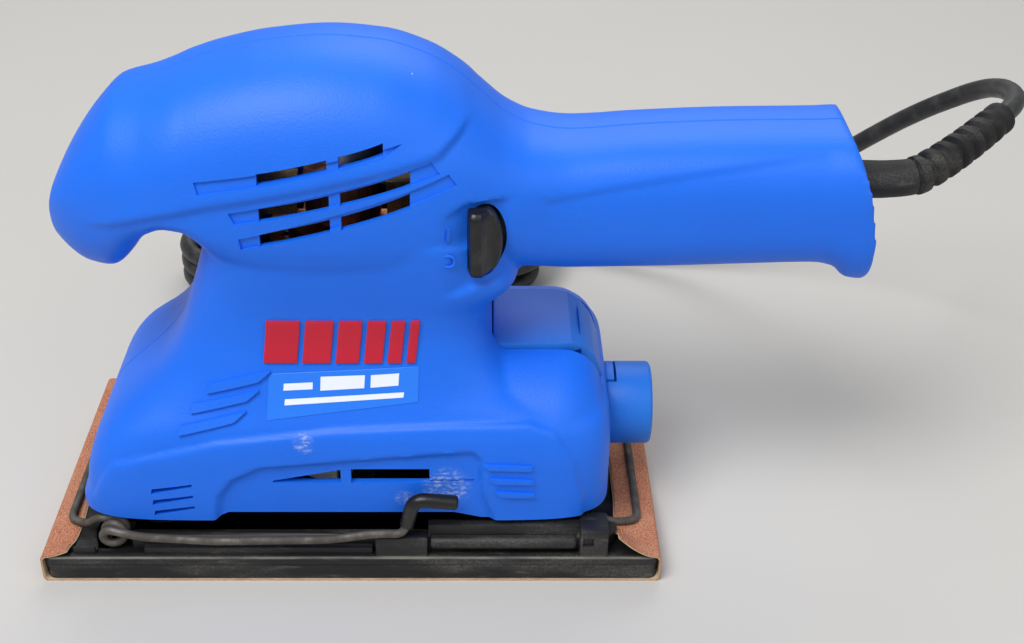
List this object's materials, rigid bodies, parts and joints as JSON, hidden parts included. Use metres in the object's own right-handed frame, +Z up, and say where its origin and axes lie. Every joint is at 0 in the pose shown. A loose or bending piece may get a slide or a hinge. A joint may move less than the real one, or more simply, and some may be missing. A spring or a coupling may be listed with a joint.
{
  "type": "orbital finishing sander",
  "caption": "Corded orbital finishing sander with a rectangular pad, wire paper clamps, a palm knob in front, a bar handle behind and a dust port.",
  "frame": {"origin": "centre of the sanding face, on the paper's underside", "axes": "+X towards the rear handle and the cord, +Y away from the switch side, +Z up from the sanding face"},
  "size_m": [0.3022, 0.2259, 0.1559],
  "materials": {
    "blue_housing": "fine-textured moulded plastic",
    "blue_duct": "fine-textured moulded plastic, a shade duller",
    "black_plastic": "moulded, dusty",
    "black_rubber": "satin",
    "bare_steel": "dull, bent spring wire",
    "screw_steel": "zinc plated",
    "cast_aluminium": "as cast",
    "copper": "varnished winding wire",
    "brass": "stamped",
    "core_steel": "stacked laminations",
    "carbon": "pressed carbon",
    "abrasive": "abrasive grit on tan paper",
    "cushion_foam": "closed-cell sponge",
    "red_emblem": "satin moulded",
    "blue_label": "printed label",
    "insulated_wire": "soft insulation",
    "film_capacitor": "dipped"
  },
  "bodies": {
    "housing": {"housing_left": "blue_housing", "housing_right": "blue_housing", "dust_duct_cover": "blue_duct", "dust_port": "blue_duct", "housing_screws": "screw_steel", "bearing_plate": "cast_aluminium", "lower_bearing": "bare_steel", "upper_bearing": "bare_steel", "stator_core": "core_steel", "field_coils": "copper", "brush_holders": "brass", "carbon_brushes": "carbon", "brush_springs": "bare_steel", "switch_body": "black_plastic", "noise_capacitor": "film_capacitor", "lead_wires": "insulated_wire", "cord_clamp": "black_plastic", "cord_clamp_screws": "screw_steel", "cord_inner_end": "black_rubber", "orbit_legs": "black_rubber", "front_emblem": "red_emblem", "label_plate": "blue_label", "strain_relief": "black_rubber", "power_cord": "black_rubber", "cord_hank": "black_rubber", "cord_tie": "black_plastic", "plug_lead": "black_rubber", "plug_body": "black_plastic", "plug_blades": "brass"},
    "armature": {"motor_shaft": "bare_steel", "armature_core": "core_steel", "armature_windings": "copper", "commutator": "copper", "cooling_fan": "cast_aluminium", "counterweight": "core_steel", "crank_pin_screw": "screw_steel"},
    "platen": {"platen": "black_plastic", "pad_cushion": "cushion_foam", "abrasive_paper": "abrasive", "eccentric_bearing": "bare_steel", "cushion_screws": "screw_steel"},
    "front_bail": {"front_bail": "bare_steel"},
    "front_lever": {"front_lever": "bare_steel", "front_lever_sleeve": "black_plastic"},
    "rear_bail": {"rear_bail": "bare_steel"},
    "rear_lever": {"rear_lever": "bare_steel", "rear_lever_sleeve": "black_plastic"},
    "switch_rocker": {"switch_rocker": "black_plastic"}
  },
  "joints": [
    {"name": "motor_spin", "type": "hinge", "parent": "housing", "child": "armature", "pos_m": [-0.001, 0, 0.03], "axis": [0, 0, 1], "continuous": true},
    {"name": "platen_orbit", "type": "hinge", "parent": "armature", "child": "platen", "pos_m": [0, 0, 0.0155], "axis": [0, 0, 1], "continuous": true},
    {"name": "front_lever_release", "type": "hinge", "parent": "platen", "child": "front_lever", "pos_m": [-0.071, -0.031, 0.0145], "axis": [0, 0, -1], "range_deg": [0, 6], "stiffness_Nm_per_rad": 0.2, "springref_deg": -5.73},
    {"name": "front_bail_lift", "type": "hinge", "parent": "platen", "child": "front_bail", "pos_m": [-0.071, 0, 0.0145], "axis": [0, 1, 0], "range_deg": [0, 25]},
    {"name": "rear_lever_release", "type": "hinge", "parent": "platen", "child": "rear_lever", "pos_m": [0.071, 0.031, 0.0145], "axis": [0, 0, -1], "range_deg": [0, 6], "stiffness_Nm_per_rad": 0.2, "springref_deg": -5.73},
    {"name": "rear_bail_lift", "type": "hinge", "parent": "platen", "child": "rear_bail", "pos_m": [0.071, 0, 0.0145], "axis": [0, -1, 0], "range_deg": [0, 25]},
    {"name": "switch_tilt", "type": "hinge", "parent": "housing", "child": "switch_rocker", "pos_m": [0.04, -0.0246, 0.107], "axis": [0, 0, -1], "range_deg": [0, 14]}
  ],
  "couplings": [
    {"joint": "platen_orbit", "follows": "motor_spin", "ratio": -1},
    {"joint": "front_bail_lift", "follows": "front_lever_release", "ratio": 4},
    {"joint": "rear_bail_lift", "follows": "rear_lever_release", "ratio": 4}
  ]
}
